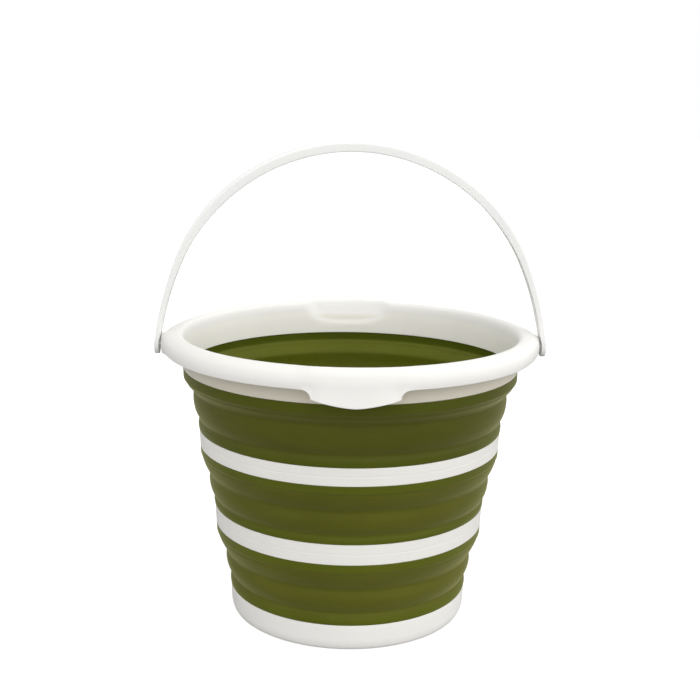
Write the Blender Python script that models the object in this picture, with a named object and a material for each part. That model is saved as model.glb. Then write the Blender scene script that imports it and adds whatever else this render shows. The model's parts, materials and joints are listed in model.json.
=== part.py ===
"""Collapsible camp bucket, ten litres, open and standing on its foot.

Rigid white polypropylene pieces (rim, two rings, foot cup, bail handle) are
joined by three soft olive bands.  Frame: metres, +Z up, origin on the ground
at the centre of the foot.  The pouring lips are at -Y (front) and +Y (back),
the handle turns about a line parallel to X.
"""
import math

import bmesh
import bpy
from mathutils import Vector

MM = 0.001

# ---- driving dimensions (millimetres) --------------------------------------
SEGMENTS = 48            # facets around the bucket
GAP = 0.3                # air between neighbouring mouldings

FOOT_H = 22.7            # height of the white side band of the foot cup
FOOT_R_TOP = 104.3       # its outer radius at the top
FOOT_R_LOW = 100.6       # outer radius where it meets the ground
WALL = 2.4               # wall of the hard mouldings
FLOOR_Z = 6.0            # top of the floor plate
FLOOR_T = 2.2            # floor plate thickness

RING2_Z = (80.3, 97.9)   # lower ring, bottom and top
RING2_R = (117.1, 118.0)
RING1_Z = (150.5, 165.7)  # upper ring, bottom and top
RING1_R = (130.2, 131.0)

COLLAR_Z = 219.3         # bottom of the rim's inner wall
COLLAR_R = 144.2         # its outer radius there
RIM_SKIRT_Z = 233.2      # lower edge of the rolled rim's skirt
LIP_HALF = 33.5          # half width of a pouring lip's apron
LIP_FILLET = 7.0         # fillet between apron and skirt
LIP_SCOOP = 48.0         # half width of the scoop inside the lip

BAND_T = 1.7             # wall of the soft bands

PIVOT_Z = 236.2          # axis of the handle
PIVOT_HOLE_R = 3.3
PIN_R = 3.0
BOSS_R = 10.0
BOSS_OUT = 163.0         # outer face of a pivot boss
BOSS_IN = 156.0          # its inner face, inside the rolled rim
HANDLE_X = 167.0         # middle of the strap beside a boss
HANDLE_TOP_ARC = 152.9   # radius of the grip's arc
HANDLE_TOP_ANGLE = 69.5  # half the angle that arc spans
HANDLE_ARM_ARC = 300.0   # radius of the arms
HANDLE_ARM_ANGLE = 82.2  # slope where the arms end
HANDLE_FOOT_ARC = 50.0   # bend into the upright end
HANDLE_W = 18.0          # strap width
HANDLE_GRIP_T = 8.9      # depth of the strap at the grip
HANDLE_ARM_T = 4.8       # and along the arms
HANDLE_TAB_T = 4.0       # and at the pivots
HANDLE_WEB_T = 3.0       # the strap is a channel, open towards the inside
HANDLE_FLANGE_T = 2.3
HANDLE_TAB_R = 9.0       # round end of the strap at the pivot
HANDLE_LEAN = 3.0        # the bail leans this far towards the front lip

# Outer profile of each band as (radius, height), from its upper ring down.
BAND1 = [(COLLAR_R, COLLAR_Z - GAP), (143.8, 211.8), (139.6, 205.3),
         (135.6, 199.6), (135.8, 192.0), (133.5, 181.5), (130.7, 175.5),
         (131.5, 170.5), (131.3, RING1_Z[1] + GAP)]
BAND2 = [(RING1_R[0], RING1_Z[0] - GAP), (129.5, 144.0), (126.8, 135.5),
         (122.6, 127.0), (122.6, 121.0), (120.9, 111.3), (118.2, 106.0),
         (118.5, 101.8), (118.1, RING2_Z[1] + GAP)]
BAND3 = [(RING2_R[0], RING2_Z[0] - GAP), (116.0, 72.2), (112.4, 63.5),
         (108.1, 55.0), (108.4, 48.5), (106.0, 38.8), (103.5, 33.8),
         (104.6, 28.5), (104.4, FOOT_H + GAP)]


def clear_scene():
    for ob in list(bpy.data.objects):
        bpy.data.objects.remove(ob, do_unlink=True)


def material(name, colour, roughness):
    mat = bpy.data.materials.new(name)
    mat.use_nodes = True
    bsdf = mat.node_tree.nodes["Principled BSDF"]
    bsdf.inputs["Base Color"].default_value = (*colour, 1.0)
    bsdf.inputs["Roughness"].default_value = roughness
    bsdf.inputs["Metallic"].default_value = 0.0
    mat.diffuse_color = (*colour, 1.0)
    return mat


def finish(name, bm, mat, origin=(0.0, 0.0, 0.0), angle=35.0):
    """Turn a bmesh built in millimetres about `origin` into an object."""
    bmesh.ops.scale(bm, vec=(MM, MM, MM), verts=bm.verts)
    bmesh.ops.recalc_face_normals(bm, faces=bm.faces)
    mesh = bpy.data.meshes.new(name)
    bm.to_mesh(mesh)
    bm.free()
    mesh.shade_smooth()
    mesh.set_sharp_from_angle(angle=math.radians(angle))
    ob = bpy.data.objects.new(name, mesh)
    ob.location = Vector(origin) * MM
    if mat is not None:
        mesh.materials.append(mat)
    bpy.context.scene.collection.objects.link(ob)
    return ob


def ring_loft(loops):
    """Bridge a closed sequence of closed loops that share their point count."""
    bm = bmesh.new()
    rings = [[bm.verts.new(p) for p in loop] for loop in loops]
    count = len(rings[0])
    for i, a in enumerate(rings):
        b = rings[(i + 1) % len(rings)]
        for j in range(count):
            k = (j + 1) % count
            bm.faces.new((a[j], a[k], b[k], b[j]))
    return bm


def revolve(loop, z0=0.0, segments=SEGMENTS):
    """A closed profile of (radius, height) turned once about Z."""
    sections = []
    for i in range(segments):
        t = 2.0 * math.pi * i / segments
        sections.append([(r * math.sin(t), -r * math.cos(t), z - z0)
                         for r, z in loop])
    return ring_loft(sections)


def revolve_solid(profile, axis="Z", segments=SEGMENTS):
    """A profile that starts and ends on the axis, turned once about it."""
    bm = bmesh.new()

    def place(r, h, t):
        if axis == "Z":
            return (r * math.cos(t), r * math.sin(t), h)
        return (h, r * math.cos(t), r * math.sin(t))

    first = bm.verts.new(place(0.0, profile[0][1], 0.0))
    last = bm.verts.new(place(0.0, profile[-1][1], 0.0))
    rings = []
    for r, h in profile[1:-1]:
        rings.append([bm.verts.new(place(r, h, 2.0 * math.pi * i / segments))
                      for i in range(segments)])
    for j in range(segments):
        k = (j + 1) % segments
        bm.faces.new((first, rings[0][j], rings[0][k]))
        for a, b in zip(rings, rings[1:]):
            bm.faces.new((a[j], b[j], b[k], a[k]))
        bm.faces.new((last, rings[-1][k], rings[-1][j]))
    return bm


def thicken(outer, wall):
    """Closed loop from an outer profile and its inward offset."""
    inner = []
    for i, (r, z) in enumerate(outer):
        a = Vector(outer[max(i - 1, 0)])
        b = Vector(outer[min(i + 1, len(outer) - 1)])
        run = (b - a).normalized()
        if i in (0, len(outer) - 1):
            inner.append((r - wall, z))
        else:
            inner.append((r + run.y * wall, z - run.x * wall))
    return outer + inner[::-1]


def boolean(ob, other, operation):
    other.hide_render = True
    other.display_type = 'WIRE'
    mod = ob.modifiers.new(other.name, 'BOOLEAN')
    mod.operation = operation
    mod.solver = 'EXACT'
    mod.object = other


def smooth(x):
    x = min(max(x, 0.0), 1.0)
    return x * x * (3.0 - 2.0 * x)


# ---- the rim ----------------------------------------------------------------
# Section of the rolled rim as (radius, height): skirt, roll, inner wall and
# then back along the hollow underside.  RIM_PLAIN and RIM_LIP match point by
# point, so the section can change from one to the other around the bucket.
RIM_PLAIN = [(156.2, RIM_SKIRT_Z), (158.3, RIM_SKIRT_Z), (158.7, 236.6),
             (158.4, 240.5), (156.9, 244.7), (153.6, 248.0), (149.8, 249.4),
             (146.8, 249.3), (144.5, 247.6), (143.1, 243.5), (142.3, 236.0),
             (141.8, 228.0), (COLLAR_R - 2.8, COLLAR_Z), (COLLAR_R, COLLAR_Z),
             (144.4, 228.0), (144.7, 236.0), (145.5, 243.0), (147.2, 246.6),
             (149.7, 247.1), (152.6, 245.9), (155.1, 243.1), (156.4, 239.6),
             (156.6, 236.6)]
RIM_LIP = [(159.0, 221.0), (161.2, 221.0), (160.2, 233.0), (159.6, 241.0),
           (157.8, 246.3), (155.3, 249.5), (152.6, 250.6), (150.6, 249.6),
           (148.7, 245.5), (146.3, 240.0), (144.0, 234.0), (142.0, 228.0),
           (COLLAR_R - 2.8, COLLAR_Z), (COLLAR_R, COLLAR_Z),
           (144.4, 226.8), (146.2, 232.9),
           (148.8, 239.0), (151.1, 244.6), (153.0, 247.6), (154.6, 246.6),
           (156.2, 244.0), (157.4, 240.4), (158.0, 233.0)]
APRON_POINTS = (0, 1)    # the section's points on the skirt's lower edge


def lip_weights(across):
    """Scoop weight and apron weight at a distance across the lip."""
    d = abs(across)
    scoop = smooth((LIP_SCOOP - d) / (LIP_SCOOP * 0.62))
    apron = smooth((LIP_HALF + LIP_FILLET - d) / LIP_FILLET)
    return scoop, apron


def rim_section(t):
    """The section at angle t from the front lip."""
    u = abs((t + math.pi / 2.0) % math.pi - math.pi / 2.0)
    across = 159.0 * math.sin(u)
    scoop, apron = lip_weights(across)
    belly = 1.0 - 0.55 * min(abs(across) / LIP_HALF, 1.0) ** 2
    section = []
    for i, (p, q) in enumerate(zip(RIM_PLAIN, RIM_LIP)):
        if i in APRON_POINTS:
            w_r, w_z = apron, apron * belly
        elif i in (2, 3, len(RIM_PLAIN) - 2, len(RIM_PLAIN) - 1):
            w_r = w_z = max(scoop, apron)
        else:
            w_r = w_z = scoop
        section.append((p[0] + (q[0] - p[0]) * w_r,
                        p[1] + (q[1] - p[1]) * w_z))
    return section


def rim_angles():
    """Even angles, with closer ones where the aprons' edges turn down."""
    edge = math.asin(LIP_HALF / 159.0)
    end = math.asin((LIP_HALF + LIP_FILLET) / 159.0)
    quarter = [0.0, edge * 0.28, edge * 0.56, edge * 0.82, edge,
               edge + (end - edge) * 0.3, edge + (end - edge) * 0.6, end]
    steps = 9
    quarter += [end + (math.pi / 2.0 - end) * i / steps
                for i in range(1, steps + 1)]
    half = quarter + [math.pi - t for t in quarter[-2::-1]]
    return half + [2.0 * math.pi - t for t in half[-2:0:-1]]


def build_rim(mat):
    sections = []
    for t in rim_angles():
        sections.append([(r * math.sin(t), -r * math.cos(t), z - PIVOT_Z)
                         for r, z in rim_section(t)])
    rim = finish("rim", ring_loft(sections), mat, (0.0, 0.0, PIVOT_Z))
    for side in (-1.0, 1.0):
        boss = [(0.0, BOSS_IN), (BOSS_R, BOSS_IN), (BOSS_R, BOSS_OUT - 1.0),
                (BOSS_R - 1.0, BOSS_OUT), (0.0, BOSS_OUT)]
        hole = [(0.0, BOSS_IN - 5.0), (PIVOT_HOLE_R, BOSS_IN - 5.0),
                (PIVOT_HOLE_R, BOSS_OUT + 5.0), (0.0, BOSS_OUT + 5.0)]
        add = finish("boss_form" + ("_l" if side < 0 else "_r"),
                     revolve_solid([(r, h * side) for r, h in boss], "X", 24),
                     mat, (0.0, 0.0, PIVOT_Z))
        cut = finish("hole_form" + ("_l" if side < 0 else "_r"),
                     revolve_solid([(r, h * side) for r, h in hole], "X", 20),
                     mat, (0.0, 0.0, PIVOT_Z))
        boolean(rim, add, 'UNION')
        boolean(rim, cut, 'DIFFERENCE')
    return rim


# ---- the handle --------------------------------------------------------------
def handle_path():
    """Centre line (x, height above the pivot, slope) from the top to one end."""
    top = math.radians(HANDLE_TOP_ANGLE)
    arm = math.radians(HANDLE_ARM_ANGLE)
    upright = math.pi / 2.0
    points = []
    x = h = 0.0

    def arc(radius, a, b, steps, x, h, out):
        for i in range(1, steps + 1):
            s = a + (b - a) * i / steps
            out.append((x + radius * (math.sin(s) - math.sin(a)),
                        h - radius * (math.cos(a) - math.cos(s)), s))
        return out[-1][0], out[-1][1]

    points.append((0.0, 0.0, 0.0))
    x, h = arc(HANDLE_TOP_ARC, 0.0, top, 10, x, h, points)
    x, h = arc(HANDLE_ARM_ARC, top, arm, 4, x, h, points)
    x, h = arc(HANDLE_FOOT_ARC, arm, upright, 3, x, h, points)
    # the foot of the bend lies on the pivot's height
    dx, dh = HANDLE_X - x, -h
    return [(px + dx * smooth(i / (len(points) - 1.0)), ph + dh, s)
            for i, (px, ph, s) in enumerate(points)]


def strap_size(x, h):
    """Width, depth and channel depth at a point of the centre line."""
    grip = smooth((h - 26.0) / 105.0)
    thick = HANDLE_ARM_T + (HANDLE_GRIP_T - HANDLE_ARM_T) * grip
    thick += (HANDLE_TAB_T - thick) * smooth((34.0 - h) / 30.0)
    channel = (thick - HANDLE_WEB_T) * smooth((h - 24.0) / 8.0)
    return HANDLE_W, thick, channel


def strap_section(x, h, slope, width, thick, channel):
    """Twelve points of the strap's channel section across the centre line."""
    nx, nh = math.sin(slope), math.cos(slope)
    w, t = width / 2.0, thick / 2.0
    c, b = min(thick * 0.28, w * 0.45), min(0.5, w * 0.3)
    edge = max(w - HANDLE_FLANGE_T, w * 0.5)
    root = edge - 0.8 * min(w / 8.0, 1.0)
    deep = -t + channel
    rim = [(-w, -t + b), (-w, t - c), (-w + c, t), (w - c, t), (w, t - c),
           (w, -t + b), (w - b, -t), (edge, -t), (root, deep), (-root, deep),
           (-edge, -t), (-w + b, -t)]
    return [(x + nx * n, y, h + nh * n) for y, n in rim]


def build_handle(mat):
    half = []
    for x, h, slope in handle_path():
        half.append((x, h, slope) + strap_size(x, h))
    for step in (0.35, 0.62, 0.82, 0.94, 0.995):
        drop = HANDLE_TAB_R * step
        half.append((HANDLE_X, -drop, math.pi / 2.0,
                     2.0 * math.sqrt(HANDLE_TAB_R ** 2 - drop ** 2),
                     HANDLE_TAB_T, 0.0))
    full = [(-x, h, -s, w, t, c) for x, h, s, w, t, c in half[:0:-1]] + half
    bm = bmesh.new()
    rows = [[bm.verts.new(p) for p in strap_section(*one)] for one in full]
    count = len(rows[0])
    for a, b in zip(rows, rows[1:]):
        for j in range(count):
            k = (j + 1) % count
            bm.faces.new((a[j], a[k], b[k], b[j]))
    bm.faces.new(rows[0][::-1])
    bm.faces.new(rows[-1])
    handle = finish("handle", bm, mat, (0.0, 0.0, PIVOT_Z))
    handle.rotation_euler = (math.radians(HANDLE_LEAN), 0.0, 0.0)
    inner = HANDLE_X - HANDLE_TAB_T / 2.0
    pin = [(0.0, inner + 1.5), (PIN_R, inner + 1.5),
           (PIN_R, BOSS_IN - GAP), (PIN_R + 1.5, BOSS_IN - GAP),
           (PIN_R + 1.5, BOSS_IN - 1.2), (PIN_R - 0.6, BOSS_IN - 3.2),
           (0.0, BOSS_IN - 3.2)]
    for side in (-1.0, 1.0):
        peg = finish("peg_form" + ("_l" if side < 0 else "_r"),
                     revolve_solid([(r, h * side) for r, h in pin], "X", 20),
                     mat, (0.0, 0.0, PIVOT_Z))
        peg.rotation_euler = handle.rotation_euler
        boolean(handle, peg, 'UNION')
    return handle


# ---- rings, bands and foot ---------------------------------------------------
def ring_profile(radii, heights):
    (r0, r1), (z0, z1) = radii, heights
    c = 0.7
    return [(r0 - c, z0), (r0, z0 + c), (r1, z1 - c), (r1 - c, z1),
            (r1 - WALL, z1), (r0 - WALL, z0)]


def foot_profile():
    top_r, low_r = FOOT_R_TOP, FOOT_R_LOW
    foot_in = low_r - 9.0
    return [(0.0, FLOOR_Z), (top_r - WALL - 8.0, FLOOR_Z),
            (top_r - WALL - 2.6, FLOOR_Z + 1.6),
            (top_r - WALL - 0.6, FLOOR_Z + 5.0),
            (top_r - WALL, FOOT_H), (top_r - 0.7, FOOT_H),
            (top_r, FOOT_H - 0.7), (top_r - 0.5, 7.0),
            (low_r + 2.2, 3.0), (low_r + 0.8, 0.9), (low_r - 0.7, 0.0),
            (foot_in, 0.0), (foot_in - 1.2, FLOOR_Z - FLOOR_T),
            (0.0, FLOOR_Z - FLOOR_T)]


def main():
    clear_scene()
    white = {}
    for key, colour in (("rim", (0.88, 0.87, 0.84)),
                        ("handle", (0.90, 0.90, 0.89)),
                        ("upper_ring", (0.84, 0.83, 0.80)),
                        ("lower_ring", (0.84, 0.83, 0.80)),
                        ("base", (0.82, 0.81, 0.78))):
        white[key] = material("white_pp_" + key, colour, 0.42)
    olive = {key: material("olive_tpr_" + key, (0.080, 0.080, 0.012), 0.6)
             for key in ("upper_band", "middle_band", "lower_band")}

    base = finish("base", revolve_solid(foot_profile()), white["base"])
    lower = finish("lower_ring",
                   revolve(ring_profile(RING2_R, RING2_Z), RING2_Z[0]),
                   white["lower_ring"], (0.0, 0.0, RING2_Z[0]))
    upper = finish("upper_ring",
                   revolve(ring_profile(RING1_R, RING1_Z), RING1_Z[0]),
                   white["upper_ring"], (0.0, 0.0, RING1_Z[0]))
    rim = build_rim(white["rim"])
    handle = build_handle(white["handle"])
    for name, profile in (("lower_band", BAND3), ("middle_band", BAND2),
                          ("upper_band", BAND1)):
        z0 = profile[-1][1]
        finish(name, revolve(thicken(profile, BAND_T), z0), olive[name],
               (0.0, 0.0, z0))
    return base, lower, upper, rim, handle


main()
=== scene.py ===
"""Looks of the collapsible camp bucket: every visible surface as a fine mesh
with its own moulded finish, around the fixed CAD frame.

Millimetres are used for the profiles and turned into metres when a mesh is
made.  Frame: +Z up, origin on the ground at the centre of the foot, pouring
lips at -Y and +Y, the handle turns about a line parallel to X.
"""
import json
import math

import bmesh
import bpy
import numpy as np
from mathutils import Matrix, Vector

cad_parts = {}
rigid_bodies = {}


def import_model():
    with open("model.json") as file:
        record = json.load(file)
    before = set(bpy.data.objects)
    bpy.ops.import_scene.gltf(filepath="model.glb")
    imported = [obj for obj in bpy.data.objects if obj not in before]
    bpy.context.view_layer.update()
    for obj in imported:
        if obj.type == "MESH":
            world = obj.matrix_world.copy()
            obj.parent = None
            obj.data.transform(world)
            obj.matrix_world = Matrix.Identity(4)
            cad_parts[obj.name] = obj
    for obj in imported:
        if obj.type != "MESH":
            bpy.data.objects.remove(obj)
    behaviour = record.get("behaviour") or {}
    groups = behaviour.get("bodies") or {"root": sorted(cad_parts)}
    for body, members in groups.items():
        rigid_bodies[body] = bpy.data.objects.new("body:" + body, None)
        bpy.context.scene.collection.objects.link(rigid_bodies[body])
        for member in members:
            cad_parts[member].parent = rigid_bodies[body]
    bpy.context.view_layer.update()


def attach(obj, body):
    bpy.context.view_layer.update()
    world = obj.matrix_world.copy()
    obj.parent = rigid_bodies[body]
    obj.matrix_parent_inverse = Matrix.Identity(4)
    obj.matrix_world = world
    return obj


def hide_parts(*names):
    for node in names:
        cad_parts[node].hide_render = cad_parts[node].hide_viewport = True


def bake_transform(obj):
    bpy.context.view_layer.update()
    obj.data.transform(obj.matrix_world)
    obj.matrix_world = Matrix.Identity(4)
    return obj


for stray in list(bpy.data.objects):
    bpy.data.objects.remove(stray, do_unlink=True)

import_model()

MM = 0.001
TURN = 2.0 * math.pi

# ---- dimensions shared with the CAD ------------------------------------------
FOOT_H, FOOT_R_TOP, FOOT_R_LOW = 22.7, 104.3, 100.6
WALL, FLOOR_Z, FLOOR_T = 2.4, 6.0, 2.2
RING2_Z, RING2_R = (80.3, 97.9), (117.1, 118.0)
RING1_Z, RING1_R = (150.5, 165.7), (130.2, 131.0)
BAND_T = 1.7
LIP_HALF, LIP_FILLET, LIP_SCOOP = 33.5, 7.0, 48.0
PIVOT_Z, PIVOT_HOLE_R, PIN_R = 236.2, 3.3, 3.0
BOSS_R, BOSS_OUT, BOSS_IN, GAP = 10.0, 163.0, 156.0, 0.3
HANDLE_X, HANDLE_LEAN, TAB_R, TAB_T = 167.0, 3.0, 9.0, 4.0
HANDLE_TOP_ARC, HANDLE_TOP_ANGLE = 152.9, 69.5
HANDLE_ARM_ARC, HANDLE_ARM_ANGLE = 300.0, 82.2
HANDLE_FOOT_ARC = 50.0
STRAP_W, GRIP_T, ARM_T, WEB_T, FLANGE_T = 18.0, 8.9, 4.8, 3.0, 2.3

# ---- only in the looks ---------------------------------------------------------
BULGE, BULGE_WIDE = 3.7, 13.0     # the rim swells towards the bosses (mm, deg)

# ---- studio --------------------------------------------------------------------
SKY = 0.776                       # soft light from all round, and from softboxes
SOFTBOXES = [((0.0, -1.0, 0.15), 0.55), ((0.0, -0.7, 0.7), 0.32),
             ((0.75, -0.65, 0.15), 0.48), ((-0.75, -0.65, 0.15), 0.24),
             ((1.0, 0.1, 0.3), 0.20), ((0.6, -0.5, 0.6), 0.37),
             ((-0.6, -0.5, 0.6), 0.17), ((0.85, 0.5, 0.05), 0.95)]
FLOOR_GLOW = 0.02

# Outer profile of each band, from its upper ring down.
BAND1 = [(144.2, 219.1), (144.1, 215.3), (143.9, 212.3), (141.4, 207.5),
         (137.3, 203.2), (135.5, 200.4), (135.6, 197.6), (135.9, 192.5),
         (135.4, 187.5), (134.4, 183.2), (132.5, 179.0), (130.7, 175.8),
         (130.7, 173.8), (131.5, 171.0), (131.6, 168.4), (131.2, 165.8)]
BAND2 = [(130.2, 150.4), (129.9, 145.5), (128.2, 139.0), (125.7, 132.8),
         (122.9, 128.2), (122.2, 126.0), (122.4, 123.4), (122.7, 119.5),
         (122.1, 114.8), (120.8, 110.6), (118.9, 107.2), (118.0, 105.4),
         (118.2, 103.6), (118.7, 101.4), (118.3, 98.0)]
BAND3 = [(117.1, 80.2), (116.7, 74.5), (114.7, 68.0), (111.3, 61.2),
         (108.4, 56.4), (107.7, 54.2), (108.1, 51.4), (108.6, 47.6),
         (108.0, 43.0), (106.6, 39.2), (104.7, 35.6), (103.5, 33.4),
         (104.0, 31.2), (104.7, 28.2), (104.9, 25.6), (104.4, 22.8)]

# Section of the rolled rim, plain and at a pouring lip, point by point: the
# skirt's lower edge, the skirt, the roll, the inner wall down to its end and
# back along the hollow underside.  RIM_DEPTH is each point's share of the way
# down the inner wall, which shapes the scoop.
RIM_PLAIN = [(156.2, 233.2), (158.3, 233.2), (158.5, 235.0), (158.7, 236.8),
             (158.4, 240.5), (156.9, 244.7), (153.6, 248.0), (149.8, 249.4),
             (146.8, 249.2), (144.6, 247.5), (143.2, 243.5), (142.7, 239.7),
             (142.3, 236.0), (142.0, 232.0), (141.8, 228.0), (141.6, 224.0),
             (141.4, 219.3), (144.2, 219.3), (144.3, 224.0), (144.4, 228.0),
             (144.7, 236.0), (145.5, 243.0), (147.2, 246.6), (149.7, 247.1),
             (152.6, 245.9), (155.1, 243.1), (156.4, 239.6), (156.6, 236.6)]
RIM_LIP = [(159.2, 220.6), (161.3, 220.6), (160.5, 226.6), (160.0, 232.0),
           (159.5, 240.0), (158.0, 246.0), (155.3, 249.3), (152.6, 250.4),
           (150.6, 249.5), (148.9, 246.6), (147.2, 242.4), (145.9, 239.0),
           (144.6, 235.5), (143.3, 231.9), (142.0, 228.2), (141.6, 224.0),
           (141.4, 219.3), (144.2, 219.3), (144.3, 223.6), (144.5, 226.8),
           (147.0, 234.0), (149.7, 240.6), (151.6, 245.2), (153.2, 247.5),
           (154.8, 246.4), (156.4, 243.8), (157.6, 240.0), (158.2, 232.0)]
RIM_DEPTH = [0.0] * 9 + [0.06, 0.20, 0.33, 0.45, 0.58, 0.72, 0.85, 1.0,
                         1.0, 0.90, 0.72, 0.45, 0.20, 0.08] + [0.0] * 5
APRON_POINTS = (0, 1, 2, 3, 27)      # on the skirt, drawn down at the lips


# ---- curves ------------------------------------------------------------------
def smooth(x):
    x = np.clip(x, 0.0, 1.0)
    return x * x * (3.0 - 2.0 * x)


def curve_through(points, steps):
    """A smooth open curve through the points, `steps` pieces between two."""
    p = np.array(points, float)
    if len(p) == 2:
        t = np.linspace(0.0, 1.0, steps + 1)[:, None]
        return p[0] + (p[1] - p[0]) * t
    ends = np.vstack([2 * p[0] - p[1], p, 2 * p[-1] - p[-2]])
    out = [p[0]]
    for i in range(1, len(ends) - 2):
        a, b, c, d = ends[i - 1:i + 3]
        t0 = 0.0
        t1 = t0 + max(np.linalg.norm(b - a), 1e-6) ** 0.5
        t2 = t1 + max(np.linalg.norm(c - b), 1e-6) ** 0.5
        t3 = t2 + max(np.linalg.norm(d - c), 1e-6) ** 0.5
        for k in range(1, steps + 1):
            t = t1 + (t2 - t1) * k / steps
            ab = (t1 - t) / (t1 - t0) * a + (t - t0) / (t1 - t0) * b
            bc = (t2 - t) / (t2 - t1) * b + (t - t1) / (t2 - t1) * c
            cd = (t3 - t) / (t3 - t2) * c + (t - t2) / (t3 - t2) * d
            abc = (t2 - t) / (t2 - t0) * ab + (t - t0) / (t2 - t0) * bc
            bcd = (t3 - t) / (t3 - t1) * bc + (t - t1) / (t3 - t1) * cd
            out.append((t2 - t) / (t2 - t1) * abc + (t - t1) / (t2 - t1) * bcd)
    return np.array(out)


def lengths(p):
    return np.concatenate([[0.0], np.cumsum(
        np.linalg.norm(np.diff(p, axis=0), axis=1))])


def at(p, s):
    """Points of a polyline at the distances s along it."""
    run = lengths(p)
    return np.stack([np.interp(s, run, p[:, k]) for k in range(p.shape[1])], 1)


def resample(p, count, cut_start=0.0, cut_end=0.0):
    total = lengths(p)[-1]
    return at(p, np.linspace(cut_start, total - cut_end, count))


def round_corner(a, corner, b, steps):
    """Points of a rounded corner, without its two ends."""
    t = (np.arange(1, steps) / steps)[:, None]
    return a * (1 - t) ** 2 + corner * 2 * t * (1 - t) + b * t ** 2


def rounded_loop(runs, radii, counts, steps=5):
    """A closed loop of runs; corner i between run i-1 and run i is rounded."""
    loop = []
    n = len(runs)
    for i, run in enumerate(runs):
        nxt = runs[(i + 1) % n]
        body = resample(run, counts[i], radii[i], radii[(i + 1) % n])
        follow = at(nxt, np.array([radii[(i + 1) % n]]))[0]
        loop.append(body)
        if radii[(i + 1) % n] > 0.0:
            loop.append(round_corner(body[-1], run[-1], follow, steps))
    return np.vstack(loop)


def polygon_runs(points, closed=True):
    p = np.array(points, float)
    last = len(p) if closed else len(p) - 1
    return [np.array([p[i], p[(i + 1) % len(p)]]) for i in range(last)]


# ---- meshes ------------------------------------------------------------------
def make(name, verts, faces, angle=40.0, scale=MM):
    mesh = bpy.data.meshes.new(name)
    mesh.from_pydata((np.asarray(verts, float) * scale).tolist(), [],
                     [tuple(int(v) for v in f) for f in faces])
    bm = bmesh.new()
    bm.from_mesh(mesh)
    bmesh.ops.recalc_face_normals(bm, faces=bm.faces)
    bm.to_mesh(mesh)
    bm.free()
    mesh.shade_smooth()
    mesh.set_sharp_from_angle(angle=math.radians(angle))
    ob = bpy.data.objects.new(name, mesh)
    bpy.context.scene.collection.objects.link(ob)
    return ob


def grid_faces(rows, cols, wrap_rows=True, wrap_cols=True):
    faces = []
    for i in range(rows if wrap_rows else rows - 1):
        a, b = i * cols, ((i + 1) % rows) * cols
        for j in range(cols if wrap_cols else cols - 1):
            k = (j + 1) % cols
            faces.append((a + j, a + k, b + k, b + j))
    return faces


def turned(name, loop, segments=256, angle=40.0):
    """A closed loop of (radius, height) turned once about Z."""
    loop = np.asarray(loop, float)
    t = np.arange(segments) * TURN / segments
    verts = np.empty((segments, len(loop), 3))
    verts[..., 0] = np.sin(t)[:, None] * loop[None, :, 0]
    verts[..., 1] = -np.cos(t)[:, None] * loop[None, :, 0]
    verts[..., 2] = loop[None, :, 1]
    return make(name, verts.reshape(-1, 3),
                grid_faces(segments, len(loop)), angle)


def turned_solid(name, profile, axis="Z", segments=256, angle=40.0):
    """A profile that starts and ends on the axis, turned once about it."""
    p = np.asarray(profile, float)
    inner = p[1:-1]
    t = np.arange(segments) * TURN / segments
    verts = []
    for r, h in inner:
        c, s = r * np.cos(t), r * np.sin(t)
        if axis == "Z":
            verts.append(np.stack([c, s, np.full(segments, h)], 1))
        else:
            verts.append(np.stack([np.full(segments, h), c, s], 1))
    verts = np.vstack(verts)
    poles = [(0, 0, p[0][1]), (0, 0, p[-1][1])]
    if axis != "Z":
        poles = [(p[0][1], 0, 0), (p[-1][1], 0, 0)]
    first = len(verts)
    verts = np.vstack([verts, poles])
    faces = grid_faces(len(inner), segments, wrap_rows=False)
    low = (len(inner) - 1) * segments
    for j in range(segments):
        k = (j + 1) % segments
        faces.append((first, k, j))
        faces.append((first + 1, low + j, low + k))
    return make(name, verts, faces, angle)


def combine(ob, other, operation):
    """A Boolean, applied at once; the other shape is removed."""
    mod = ob.modifiers.new(other.name, 'BOOLEAN')
    mod.operation = operation
    mod.solver = 'EXACT'
    mod.object = other
    bpy.context.view_layer.update()
    evaluated = ob.evaluated_get(bpy.context.evaluated_depsgraph_get())
    mesh = bpy.data.meshes.new_from_object(evaluated)
    ob.modifiers.clear()
    ob.data = mesh
    bpy.data.objects.remove(other, do_unlink=True)
    mesh.shade_smooth()
    mesh.set_sharp_from_angle(angle=math.radians(40.0))


# ---- materials ---------------------------------------------------------------
def nodes_of(name):
    mat = bpy.data.materials.new(name)
    mat.use_nodes = True
    tree = mat.node_tree
    return mat, tree, tree.nodes["Principled BSDF"]


def add(tree, kind, **values):
    node = tree.nodes.new(kind)
    for key, value in values.items():
        setattr(node, key, value)
    return node


def noise(tree, coords, scale, detail=3.0, roughness=0.5, stretch=None):
    tex = add(tree, "ShaderNodeTexNoise")
    tex.inputs["Scale"].default_value = scale
    tex.inputs["Detail"].default_value = detail
    tex.inputs["Roughness"].default_value = roughness
    if stretch is None:
        tree.links.new(coords, tex.inputs["Vector"])
    else:
        mapping = add(tree, "ShaderNodeMapping")
        mapping.inputs["Scale"].default_value = stretch
        tree.links.new(coords, mapping.inputs["Vector"])
        tree.links.new(mapping.outputs["Vector"], tex.inputs["Vector"])
    return tex.outputs["Fac"]


def span(tree, value, low, high, to_low, to_high):
    node = add(tree, "ShaderNodeMapRange", clamp=True)
    node.inputs["From Min"].default_value = low
    node.inputs["From Max"].default_value = high
    node.inputs["To Min"].default_value = to_low
    node.inputs["To Max"].default_value = to_high
    tree.links.new(value, node.inputs["Value"])
    return node.outputs["Result"]


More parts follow.
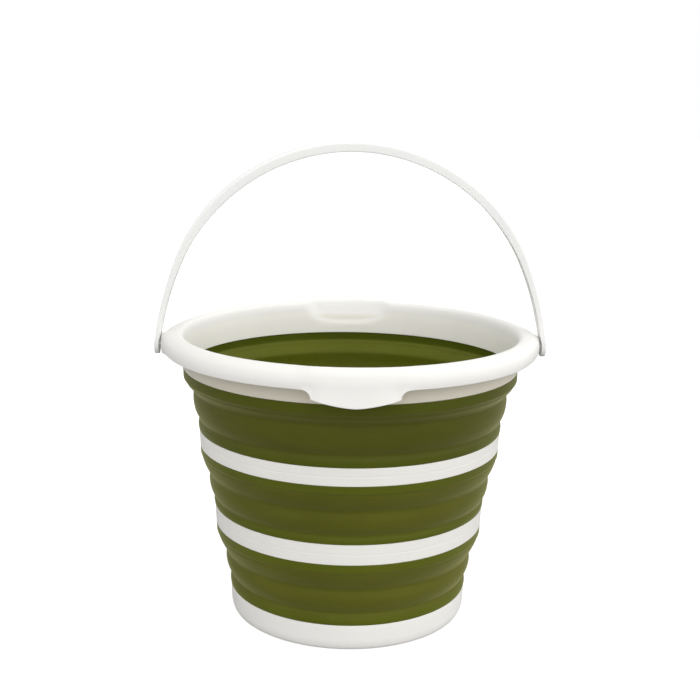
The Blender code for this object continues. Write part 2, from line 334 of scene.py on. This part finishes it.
def mix(tree, factor, a, b, blend='MIX'):
    """Mix of two colours; a and b are sockets or plain colours."""
    node = add(tree, "ShaderNodeMix", data_type='RGBA', blend_type=blend)
    for socket, value in ((node.inputs[0], factor), (node.inputs[6], a),
                          (node.inputs[7], b)):
        if isinstance(value, bpy.types.NodeSocket):
            tree.links.new(value, socket)
        elif isinstance(value, (int, float)):
            socket.default_value = value
        else:
            socket.default_value = (*value, 1.0)
    return node.outputs[2]


def tint(colour, factor):
    return tuple(min(c * factor, 1.0) for c in colour)


def bumps(tree, layers):
    """Chained bump nodes from (height socket, strength, distance)."""
    normal = None
    for height, strength, distance in layers:
        node = add(tree, "ShaderNodeBump")
        node.inputs["Strength"].default_value = strength
        node.inputs["Distance"].default_value = distance
        tree.links.new(height, node.inputs["Height"])
        if normal is not None:
            tree.links.new(normal, node.inputs["Normal"])
        normal = node.outputs["Normal"]
    return normal


def paint_collar_shade(tree, coords, body, shade):
    """Painted shade: the wall under the skirt, outside, darker and warmer.
    Painted light: the inner wall lighter.
    """
    split = add(tree, "ShaderNodeSeparateXYZ")
    flat = add(tree, "ShaderNodeVectorMath", operation='MULTIPLY')
    flat.inputs[1].default_value = (1.0, 1.0, 0.0)
    radius = add(tree, "ShaderNodeVectorMath", operation='LENGTH')
    tree.links.new(coords, split.inputs[0])
    tree.links.new(coords, flat.inputs[0])
    tree.links.new(flat.outputs[0], radius.inputs[0])
    out = radius.outputs["Value"]
    ring = add(tree, "ShaderNodeMath", operation='MULTIPLY')
    tree.links.new(span(tree, out, 0.1430, 0.1440, 0.0, 1.0), ring.inputs[0])
    tree.links.new(span(tree, out, 0.1470, 0.1550, 1.0, 0.0), ring.inputs[1])
    low = add(tree, "ShaderNodeMath", operation='MULTIPLY')
    tree.links.new(ring.outputs[0], low.inputs[0])
    tree.links.new(span(tree, split.outputs["Z"], 0.232, 0.238, 1.0, 0.0),
                   low.inputs[1])
    body = mix(tree, low.outputs[0], body, mix(tree, 1.0, body, shade,
                                               'MULTIPLY'))
    return mix(tree, span(tree, out, 0.1430, 0.1424, 0.0, 1.0), body,
               mix(tree, 1.0, body, (1.06, 1.055, 1.02), 'MULTIPLY'))


def white_plastic(name, colour, rough=(0.34, 0.46), wear=0.5, crease_shade=0.35,
                  collar_shade=None):
    """Satin white polypropylene: faint flow clouds, fine grain, worn edges."""
    mat, tree, bsdf = nodes_of(name)
    coords = add(tree, "ShaderNodeTexCoord").outputs["Object"]
    clouds = noise(tree, coords, 14.0, 3.0)
    streaks = noise(tree, coords, 30.0, 4.0, 0.6, (1.0, 1.0, 6.0))
    speck = noise(tree, coords, 900.0, 2.0)
    grain = noise(tree, coords, 2200.0, 2.0, 0.6)
    peel = noise(tree, coords, 180.0, 2.0)
    body = mix(tree, span(tree, clouds, 0.35, 0.65, 0.0, 1.0),
               tint(colour, 0.985), tint(colour, 1.012))
    body = mix(tree, span(tree, streaks, 0.52, 0.72, 0.0, 0.35), body,
               (colour[0] * 0.985, colour[1] * 0.98, colour[2] * 0.965))
    body = mix(tree, span(tree, speck, 0.68, 0.78, 0.0, 0.3), body,
               tint(colour, 0.94))
    point = add(tree, "ShaderNodeNewGeometry").outputs["Pointiness"]
    edge = span(tree, point, 0.53, 0.60, 0.0, wear)
    body = mix(tree, edge, body, tint(colour, 1.05))
    # painted shade: concave creases are darkened
    body = mix(tree, span(tree, point, 0.47, 0.40, 0.0, crease_shade), body,
               (colour[0] * 0.90, colour[1] * 0.89, colour[2] * 0.85))
    # painted shade on the wall under the skirt, painted light on the inner wall
    if collar_shade is not None:
        body = paint_collar_shade(tree, coords, body, collar_shade)
    tree.links.new(body, bsdf.inputs["Base Color"])
    tree.links.new(span(tree, streaks, 0.3, 0.7, *rough),
                   bsdf.inputs["Roughness"])
    bsdf.inputs["IOR"].default_value = 1.49
    bsdf.inputs["Specular IOR Level"].default_value = 0.35
    tree.links.new(bumps(tree, [(peel, 0.05, 0.0006), (grain, 0.10, 0.0002)]),
                   bsdf.inputs["Normal"])
    return mat


def soft_rubber(name, colour, high, outside=True):
    """Matte olive thermoplastic rubber: mottled, creases rubbed lighter."""
    mat, tree, bsdf = nodes_of(name)
    coords = add(tree, "ShaderNodeTexCoord").outputs["Object"]
    clouds = noise(tree, coords, 9.0, 3.0, 0.55)
    flow = noise(tree, coords, 22.0, 4.0, 0.6, (1.0, 1.0, 5.0))
    dust = noise(tree, coords, 420.0, 3.0, 0.6)
    grain = noise(tree, coords, 1500.0, 3.0, 0.6)
    peel = noise(tree, coords, 120.0, 3.0)
    body = mix(tree, span(tree, clouds, 0.36, 0.64, 0.0, 1.0),
               tint(colour, 0.93), tint(colour, 1.07))
    body = mix(tree, span(tree, flow, 0.5, 0.72, 0.0, 0.5), body, high)
    body = mix(tree, span(tree, dust, 0.62, 0.78, 0.0, 0.22), body,
               (high[0] * 1.25, high[1] * 1.25, high[2] * 1.9))
    geometry = add(tree, "ShaderNodeNewGeometry")
    point = geometry.outputs["Pointiness"]
    body = mix(tree, span(tree, point, 0.515, 0.56, 0.0, 0.45), body,
               (high[0] * 1.3, high[1] * 1.3, high[2] * 1.8))
    # painted shade: concave creases are darkened
    body = mix(tree, span(tree, point, 0.485, 0.44, 0.0, 0.15), body,
               tint(colour, 0.85))
    # greener near the rings that hold the band; on the inside much darker there,
    # painted shade under the overhang of the collar and rings
    near_ring_tone_and_shade = add(tree, "ShaderNodeAttribute", attribute_name="near_ring")
    body = mix(tree, near_ring_tone_and_shade.outputs["Fac"], body,
               mix(tree, 1.0, body, (0.93, 1.03, 0.72) if outside
                   else (0.66, 0.72, 0.42), 'MULTIPLY'))
    if not outside:
        # painted light: slopes that face up are left lighter and the upright
        # walls darkened, as light falls from above
        split = add(tree, "ShaderNodeSeparateXYZ")
        tree.links.new(geometry.outputs["Normal"], split.inputs[0])
        body = mix(tree, span(tree, split.outputs["Z"], 0.10, 0.50, 0.0, 1.0),
                   mix(tree, 1.0, body, (0.90, 0.92, 0.80), 'MULTIPLY'), body)
    tree.links.new(body, bsdf.inputs["Base Color"])
    tree.links.new(span(tree, flow, 0.3, 0.7, 0.36, 0.50),
                   bsdf.inputs["Roughness"])
    bsdf.inputs["IOR"].default_value = 1.47
    if outside:
        bsdf.inputs["Specular IOR Level"].default_value = 0.10
        bsdf.inputs["Sheen Weight"].default_value = 0.32
        bsdf.inputs["Sheen Roughness"].default_value = 0.40
        bsdf.inputs["Sheen Tint"].default_value = (1.0, 0.95, 0.42, 1.0)
    else:
        bsdf.inputs["Specular IOR Level"].default_value = 0.10
    tree.links.new(bumps(tree, [(peel, 0.06, 0.0008), (grain, 0.16, 0.0002)]),
                   bsdf.inputs["Normal"])
    return mat


# ---- the rim -----------------------------------------------------------------
def rim_fine(control):
    """A fine closed section of the rim with its four edges rounded."""
    p = np.array(control, float)
    runs = [curve_through(p[0:2], 4), curve_through(p[1:17], 8),
            curve_through(p[16:18], 4),
            curve_through(np.vstack([p[17:], p[0:1]]), 8)]
    return rounded_loop(runs, (0.75, 0.8, 0.6, 1.0), (3, 56, 3, 34))


def rim_control(t):
    """Control points of the section at angle t from the front lip."""
    plain, lip = np.array(RIM_PLAIN), np.array(RIM_LIP)
    depth = np.array(RIM_DEPTH)
    u = abs((t + math.pi / 2.0) % math.pi - math.pi / 2.0)
    d = 159.0 * math.sin(u)
    rho = ((d / LIP_SCOOP) ** 2.4 + (depth / 0.84) ** 2.4) ** (1 / 2.4)
    scoop = smooth((1.0 - rho) / 0.34)
    # the apron's sides run up into the skirt in a round inner corner
    s = (d - LIP_HALF) / LIP_FILLET
    apron = 1.0 if s <= 0.0 else 0.0
    if 0.0 < s < 1.0:
        apron = 1.0 - math.sqrt(1.0 - (1.0 - s) ** 2)
    belly = 1.0 - 0.46 * min(d / LIP_HALF, 1.0) ** 1.5
    swell = float(smooth((LIP_HALF + LIP_FILLET - d) / (LIP_FILLET * 2.2)))
    w_r, w_z = scoop.copy(), scoop.copy()
    for i in APRON_POINTS:
        w_r[i] = max(scoop[0] * 0.6, swell)
        w_z[i] = apron * belly
    w_r[4] = max(scoop[4], swell)
    section = plain + (lip - plain) * np.stack([w_r, w_z], 1)
    # the outer side swells towards the pivots
    away = math.degrees(math.pi / 2.0 - abs(u))
    swell = BULGE * math.exp(-(away / BULGE_WIDE) ** 2)
    section[:, 0] += swell * smooth((section[:, 0] - 148.0) / 8.0)
    return section


def build_rim():
    edge = math.asin(LIP_HALF / 159.0)
    end = math.asin((LIP_HALF + LIP_FILLET) / 159.0)
    phi = np.linspace(0.0, math.pi / 2.0, 17)
    near = np.concatenate([
        np.linspace(0.0, edge, 30)[:-1],
        edge + (end - edge) * (1.0 - np.cos(phi))[:-1],
        np.linspace(end, 0.36, 12)[:-1], np.linspace(0.36, math.pi / 2, 58)])
    half = np.concatenate([near, math.pi - near[-2::-1]])
    angles = np.concatenate([half, TURN - half[-2:0:-1]])
    sections = [rim_fine(rim_control(t)) for t in angles]
    n = len(sections[0])
    verts = np.empty((len(angles), n, 3))
    for i, (t, section) in enumerate(zip(angles, sections)):
        verts[i, :, 0] = section[:, 0] * math.sin(t)
        verts[i, :, 1] = -section[:, 0] * math.cos(t)
        verts[i, :, 2] = section[:, 1]
    rim = make("rim_moulding", verts.reshape(-1, 3),
               grid_faces(len(angles), n), 50.0)
    for side in (-1.0, 1.0):
        boss = rounded_profile([(0.0, BOSS_IN), (BOSS_R, BOSS_IN),
                                (BOSS_R, BOSS_OUT - 2.2),
                                (BOSS_R - 1.5, BOSS_OUT), (0.0, BOSS_OUT)],
                               (0.0, 0.4, 1.2, 0.9, 0.0))
        boss[:, 1] *= side
        form = turned_solid("boss_form", boss, "X", 72)
        form.location.z = PIVOT_Z * MM
        combine(rim, form, 'UNION')
        hole = np.array([(0.0, BOSS_IN - 5.0), (PIVOT_HOLE_R, BOSS_IN - 5.0),
                         (PIVOT_HOLE_R, BOSS_OUT + 5.0),
                         (0.0, BOSS_OUT + 5.0)])
        hole[:, 1] *= side
        form = turned_solid("hole_form", hole, "X", 48)
        form.location.z = PIVOT_Z * MM
        combine(rim, form, 'DIFFERENCE')
    return rim


def rounded_profile(points, radii, steps=5):
    """An open profile whose inner corners are rounded by their radii."""
    p = np.array(points, float)
    out = [p[0:1]]
    for i in range(1, len(p) - 1):
        r = radii[i]
        if r <= 0.0:
            out.append(p[i:i + 1])
            continue
        a = p[i] + (p[i - 1] - p[i]) / np.linalg.norm(p[i - 1] - p[i]) * r
        b = p[i] + (p[i + 1] - p[i]) / np.linalg.norm(p[i + 1] - p[i]) * r
        out += [a[None], round_corner(a, p[i], b, steps), b[None]]
    out.append(p[-1:])
    return np.vstack(out)


# ---- the rings ---------------------------------------------------------------
def build_ring(name, radii, heights):
    (r0, r1), (z0, z1) = radii, heights
    mid, slope = 0.5 * (z0 + z1), (r1 - r0) / (z1 - z0)

    def face(z, out=0.0):
        return (r0 + slope * (z - z0) + out, z)

    points = [face(z0), face(mid - 0.45), face(mid, -0.16), face(mid + 0.45),
              face(z1), (r1 - WALL, z1), (r0 - WALL, z0)]
    loop = rounded_loop(polygon_runs(points),
                        (0.55, 0.12, 0.10, 0.12, 0.55, 0.5, 0.5),
                        (12, 3, 3, 12, 4, 20, 4))
    return turned(name, loop, 288, 60.0)


# ---- the foot cup ------------------------------------------------------------
def build_base():
    top_r, low_r = FOOT_R_TOP, FOOT_R_LOW
    foot_in = low_r - 9.0
    points = [(0.0, FLOOR_Z + 0.5), (3.2, FLOOR_Z + 0.5), (3.6, FLOOR_Z),
              (60.0, FLOOR_Z), (60.5, FLOOR_Z - 0.25), (61.5, FLOOR_Z - 0.25),
              (62.0, FLOOR_Z), (top_r - WALL - 8.0, FLOOR_Z),
              (top_r - WALL - 2.6, FLOOR_Z + 1.6),
              (top_r - WALL - 0.6, FLOOR_Z + 5.0), (top_r - WALL, FOOT_H),
              (top_r, FOOT_H), (top_r - 0.5, 7.0), (low_r + 2.2, 3.0),
              (low_r + 0.8, 0.9), (low_r - 0.7, 0.0), (foot_in, 0.0),
              (foot_in - 1.2, FLOOR_Z - FLOOR_T),
              (61.0, FLOOR_Z - FLOOR_T), (60.6, FLOOR_Z - FLOOR_T - 0.6),
              (58.4, FLOOR_Z - FLOOR_T - 0.6), (58.0, FLOOR_Z - FLOOR_T),
              (6.0, FLOOR_Z - FLOOR_T), (5.6, FLOOR_Z - FLOOR_T - 0.5),
              (0.0, FLOOR_Z - FLOOR_T - 0.5)]
    radii = [0.0, 0.15, 0.2, 0.2, 0.2, 0.2, 0.2, 3.5, 2.2, 2.2, 0.5, 0.55,
             2.2, 1.4, 0.7, 0.5, 0.5, 0.9, 0.2, 0.2, 0.2, 0.2, 0.2, 0.2, 0.0]
    profile = rounded_profile(points, radii)
    # close rows on the long faces, so that the shading stays even
    rows = [profile[0]]
    for a, b in zip(profile, profile[1:]):
        steps = max(1, int(np.linalg.norm(b - a) / 4.0))
        for k in range(1, steps + 1):
            rows.append(a + (b - a) * k / steps)
    return turned_solid("foot_cup", np.array(rows), "Z", 256, 50.0)


# ---- the soft bands ----------------------------------------------------------
def build_band(name, profile, bead_at, columns=192):
    """The band's mid-surface, open at both ends, thickened by a modifier."""
    fine = curve_through(profile, 16)
    rows = resample(fine, int(lengths(fine)[-1] / 0.7) + 1)
    # a fine bead with a groove under it where the upper roll begins
    z = rows[:, 1]
    rows[:, 0] += 0.28 * np.exp(-((z - bead_at) / 0.9) ** 2)
    rows[:, 0] -= 0.30 * np.exp(-((z - bead_at + 2.3) / 0.9) ** 2)
    run = np.gradient(rows, axis=0)
    run /= np.linalg.norm(run, axis=1)[:, None]
    middle = rows + np.stack([run[:, 1], -run[:, 0]], 1) * BAND_T / 2.0
    t = np.arange(columns) * TURN / columns
    verts = np.empty((len(middle), columns, 3))
    verts[..., 0] = middle[:, None, 0] * np.sin(t)[None]
    verts[..., 1] = -middle[:, None, 0] * np.cos(t)[None]
    verts[..., 2] = middle[:, None, 1]
    faces = grid_faces(len(middle), columns, wrap_rows=False)
    mesh = bpy.data.meshes.new(name)
    mesh.from_pydata((verts.reshape(-1, 3) * MM).tolist(), [], faces)
    mesh.shade_smooth()
    # how near each row is to the rings that hold the band
    end = np.minimum(middle[0, 1] - middle[:, 1], middle[:, 1] - middle[-1, 1])
    near = mesh.attributes.new("near_ring", 'FLOAT', 'POINT')
    near.data.foreach_set("value", np.repeat(smooth((9.5 - end) / 5.5),
                                             columns).astype(np.float32))
    first = mesh.polygons[0]
    if first.normal.dot(first.center * Vector((1, 1, 0))) < 0.0:
        mesh.flip_normals()
    band = bpy.data.objects.new(name, mesh)
    bpy.context.scene.collection.objects.link(band)
    solid = band.modifiers.new("wall", 'SOLIDIFY')
    solid.thickness = BAND_T * MM
    solid.offset = 0.0
    solid.use_rim = True
    solid.material_offset = 1
    solid.material_offset_rim = 0
    bevel = band.modifiers.new("edge", 'BEVEL')
    bevel.limit_method = 'ANGLE'
    bevel.angle_limit = math.radians(65.0)
    bevel.width = 0.00025
    bevel.segments = 2
    return band


# ---- the handle --------------------------------------------------------------
def handle_path(finer=8):
    """Centre line (x, height above the pivot, slope) from the top to one end."""
    top, arm = math.radians(HANDLE_TOP_ANGLE), math.radians(HANDLE_ARM_ANGLE)
    points = [(0.0, 0.0, 0.0)]
    x = h = 0.0
    for radius, a, b, steps in ((HANDLE_TOP_ARC, 0.0, top, 10 * finer),
                                (HANDLE_ARM_ARC, top, arm, 4 * finer),
                                (HANDLE_FOOT_ARC, arm, math.pi / 2, 3 * finer)):
        for i in range(1, steps + 1):
            s = a + (b - a) * i / steps
            points.append((x + radius * (math.sin(s) - math.sin(a)),
                           h - radius * (math.cos(a) - math.cos(s)), s))
        x, h = points[-1][0], points[-1][1]
    dx, dh = HANDLE_X - x, -h
    return [(px + dx * float(smooth(i / (len(points) - 1.0))), ph + dh, s)
            for i, (px, ph, s) in enumerate(points)]


def strap_size(h):
    """Depth of the strap and of its channel, by the height above the pivot."""
    thick = ARM_T + (GRIP_T - ARM_T) * float(smooth((h - 26.0) / 105.0))
    thick += (TAB_T - thick) * float(smooth((34.0 - h) / 30.0))
    return thick, (thick - WEB_T) * float(smooth((h - 24.0) / 8.0))


def strap_section(width, thick, hollow):
    """Closed section (across, outward): crowned outside, channel inside."""
    w, t = width / 2.0, thick / 2.0
    big, small = min(thick * 0.24, w * 0.5), min(thick * 0.12, w * 0.3)
    crown = 0.06 * thick * min(w / 8.0, 1.0)
    outside = [(w * x, t - crown * x * x) for x in np.linspace(-1, 1, 13)]
    lip = max(w - FLANGE_T, w * 0.5)
    floor = -t + hollow
    slope = lip - 0.8 * min(w / 8.0, 1.0)
    runs = [np.array(outside, float),
            np.array([(w, t - crown), (w, -t)]),
            np.array([(w, -t), (lip, -t)]),
            np.array([(lip, -t), (slope, floor)]),
            np.array([(slope, floor), (-slope, floor)]),
            np.array([(-slope, floor), (-lip, -t)]),
            np.array([(-lip, -t), (-w, -t)]),
            np.array([(-w, -t), (-w, t - crown)])]
    soft = min(0.3, w * 0.05)
    return rounded_loop(runs, (big, big, small, soft, soft, soft, soft, small),
                        (11, 4, 3, 3, 7, 3, 3, 4), 6)


def build_handle():
    half = []
    for x, h, slope in handle_path():
        half.append((x, h, slope, STRAP_W, *strap_size(h)))
    for angle in np.linspace(8.0, 86.0, 14):
        a = math.radians(angle)
        half.append((HANDLE_X, -TAB_R * math.sin(a), math.pi / 2.0,
                     2.0 * TAB_R * math.cos(a), TAB_T, 0.0))
    full = [(-x, h, -s, w, t, c) for x, h, s, w, t, c in half[:0:-1]] + half
    rows = []
    for x, h, slope, width, thick, hollow in full:
        section = strap_section(width, thick, hollow)
        nx, nh = math.sin(slope), math.cos(slope)
        rows.append(np.stack([x + nx * section[:, 1], section[:, 0],
                              h + nh * section[:, 1]], 1))
    n = len(rows[0])
    faces = grid_faces(len(rows), n, wrap_rows=False)
    faces.append(tuple(range(n))[::-1])
    faces.append(tuple(range((len(rows) - 1) * n, len(rows) * n)))
    handle = make("bail_handle", np.vstack(rows), faces, 45.0)
    inner = HANDLE_X - TAB_T / 2.0
    pin = [(0.0, inner + 1.5), (PIN_R, inner + 1.5), (PIN_R, BOSS_IN - GAP),
           (PIN_R + 1.5, BOSS_IN - GAP), (PIN_R + 1.5, BOSS_IN - 1.2),
           (PIN_R - 0.6, BOSS_IN - 3.2), (0.0, BOSS_IN - 3.2)]
    for side in (-1.0, 1.0):
        profile = rounded_profile([(r, h * side) for r, h in pin],
                                  (0.0, 0.0, 0.1, 0.2, 0.3, 0.4, 0.0))
        combine(handle, turned_solid("peg_form", profile, "X", 48), 'UNION')
    lean = Matrix.Rotation(math.radians(HANDLE_LEAN), 4, 'X')
    handle.data.transform(Matrix.Translation((0, 0, PIVOT_Z * MM)) @ lean)
    return handle


# ---- put together --------------------------------------------------------------
# painted light: the base's and the handle's white are made lighter than the rim's
# and rings', the base for the light from the floor, the handle for the light on
# its front
WHITE = {
    "rim": white_plastic("white_moulding_rim", (0.838, 0.825, 0.790),
                         crease_shade=0.12, collar_shade=(0.82, 0.78, 0.68)),
    "handle": white_plastic("white_moulding_handle", (0.888, 0.885, 0.868)),
    "ring": white_plastic("white_moulding_ring", (0.836, 0.821, 0.782)),
    "base": white_plastic("white_moulding_base", (0.868, 0.852, 0.818)),
}
# painted light: the inside is a lighter olive than the outside of the same
# rubber, for the light that falls in from above
OLIVE_IN = soft_rubber("olive_rubber_inside", (0.104, 0.117, 0.0090),
                       (0.122, 0.134, 0.020), outside=False)


def dress(ob, body, node, slot, *mats):
    for mat in mats:
        ob.data.materials.append(mat)
    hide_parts(node)
    if body is not None:
        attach(ob, body)


dress(build_rim(), "rim_body", "rim", "rim_white", WHITE["rim"])
dress(build_handle(), "bail", "handle", "handle_white", WHITE["handle"])
dress(build_ring("ring_upper", RING1_R, RING1_Z), "upper_stage", "upper_ring",
      "ring_white", WHITE["ring"])
dress(build_ring("ring_lower", RING2_R, RING2_Z), "lower_stage", "lower_ring",
      "ring_white", WHITE["ring"])
dress(build_base(), "foot", "base", "base_white", WHITE["base"])
for label, node, profile, bead, band_light_level, below, above, low, high in (
        ("band_upper", "upper_band", BAND1, 211.4, 0.91, "upper_stage",
         "rim_body", 175.0, 219.0),
        ("band_middle", "middle_band", BAND2, 144.6, 1.09, "lower_stage",
         "upper_stage", 105.4, 150.2),
        ("band_lower", "lower_band", BAND3, 73.6, 1.19, "foot",
         "lower_stage", 33.4, 80.0)):
    band = build_band(label, profile, bead)
    # painted light: one rubber, made darker for the band under the rim and
    # lighter band by band towards the floor
    olive = soft_rubber("olive_rubber_" + label,
                        tint((0.0800, 0.0835, 0.0080), band_light_level),
                        tint((0.0940, 0.0980, 0.0125), band_light_level))
    dress(band, None, node, "band_olive", olive, OLIVE_IN)
    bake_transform(band)

# ---- floor, light and camera ---------------------------------------------------
scene = bpy.context.scene
bpy.ops.mesh.primitive_plane_add(size=30.0, location=(0.0, 0.0, -0.0001))
floor = bpy.context.object
floor.name = "floor"
mat, tree, bsdf = nodes_of("pale_floor")
bsdf.inputs["Base Color"].default_value = (0.35, 0.35, 0.35, 1.0)
bsdf.inputs["Roughness"].default_value = 0.9
bsdf.inputs["Specular IOR Level"].default_value = 0.0
bsdf.inputs["Emission Color"].default_value = (1.0, 1.0, 1.0, 1.0)
seen = add(tree, "ShaderNodeLightPath").outputs["Is Camera Ray"]
tree.links.new(span(tree, seen, 0.0, 1.0, FLOOR_GLOW, 0.84),
               bsdf.inputs["Emission Strength"])
floor.data.materials.append(mat)     # the camera sees it nearly pure white

# The studio: soft light all round and broad softboxes, most of them in front
# and on the right, before a white background.
world = bpy.data.worlds.new("studio")
scene.world = world
world.use_nodes = True
tree = world.node_tree
back = tree.nodes["Background"]
back.inputs["Color"].default_value = (1.0, 1.0, 1.0, 1.0)
sky = add(tree, "ShaderNodeTexCoord").outputs["Generated"]
glow = SKY
for direction, strength in SOFTBOXES:
    toward = add(tree, "ShaderNodeVectorMath", operation='DOT_PRODUCT')
    toward.inputs[1].default_value = Vector(direction).normalized()
    tree.links.new(sky, toward.inputs[0])
    facing = add(tree, "ShaderNodeMath", operation='MAXIMUM')
    facing.inputs[1].default_value = 0.0
    tree.links.new(toward.outputs["Value"], facing.inputs[0])
    lobe = add(tree, "ShaderNodeMath", operation='POWER')
    lobe.inputs[1].default_value = 4.0
    tree.links.new(facing.outputs[0], lobe.inputs[0])
    total = add(tree, "ShaderNodeMath", operation='MULTIPLY_ADD')
    total.inputs[1].default_value = strength
    tree.links.new(lobe.outputs[0], total.inputs[0])
    if isinstance(glow, float):
        total.inputs[2].default_value = glow
    else:
        tree.links.new(glow, total.inputs[2])
    glow = total.outputs[0]
pick = add(tree, "ShaderNodeMix", data_type='FLOAT')
tree.links.new(add(tree, "ShaderNodeLightPath").outputs["Is Camera Ray"],
               pick.inputs[0])
tree.links.new(glow, pick.inputs[2])
pick.inputs[3].default_value = 1.0
tree.links.new(pick.outputs[0], back.inputs["Strength"])

cam_data = bpy.data.cameras.new("camera")
cam_data.lens = 59.98
cam_data.sensor_width = 36.0
cam_data.clip_start, cam_data.clip_end = 0.01, 100.0
camera = bpy.data.objects.new("camera", cam_data)
scene.collection.objects.link(camera)
camera.matrix_world = (
    Matrix.Rotation(math.radians(-1.6), 4, 'Z')
    @ Matrix.Translation((-0.00032, -0.9905, 0.4410))
    @ Matrix.Rotation(math.radians(90.0 - 11.954), 4, 'X')
    @ Matrix.Rotation(math.radians(0.015), 4, 'Y')
    @ Matrix.Rotation(math.radians(0.83), 4, 'Z'))
scene.camera = camera

scene.view_settings.view_transform = 'Standard'
scene.view_settings.look = 'None'
scene.view_settings.exposure = 0.0
scene.view_settings.gamma = 1.0
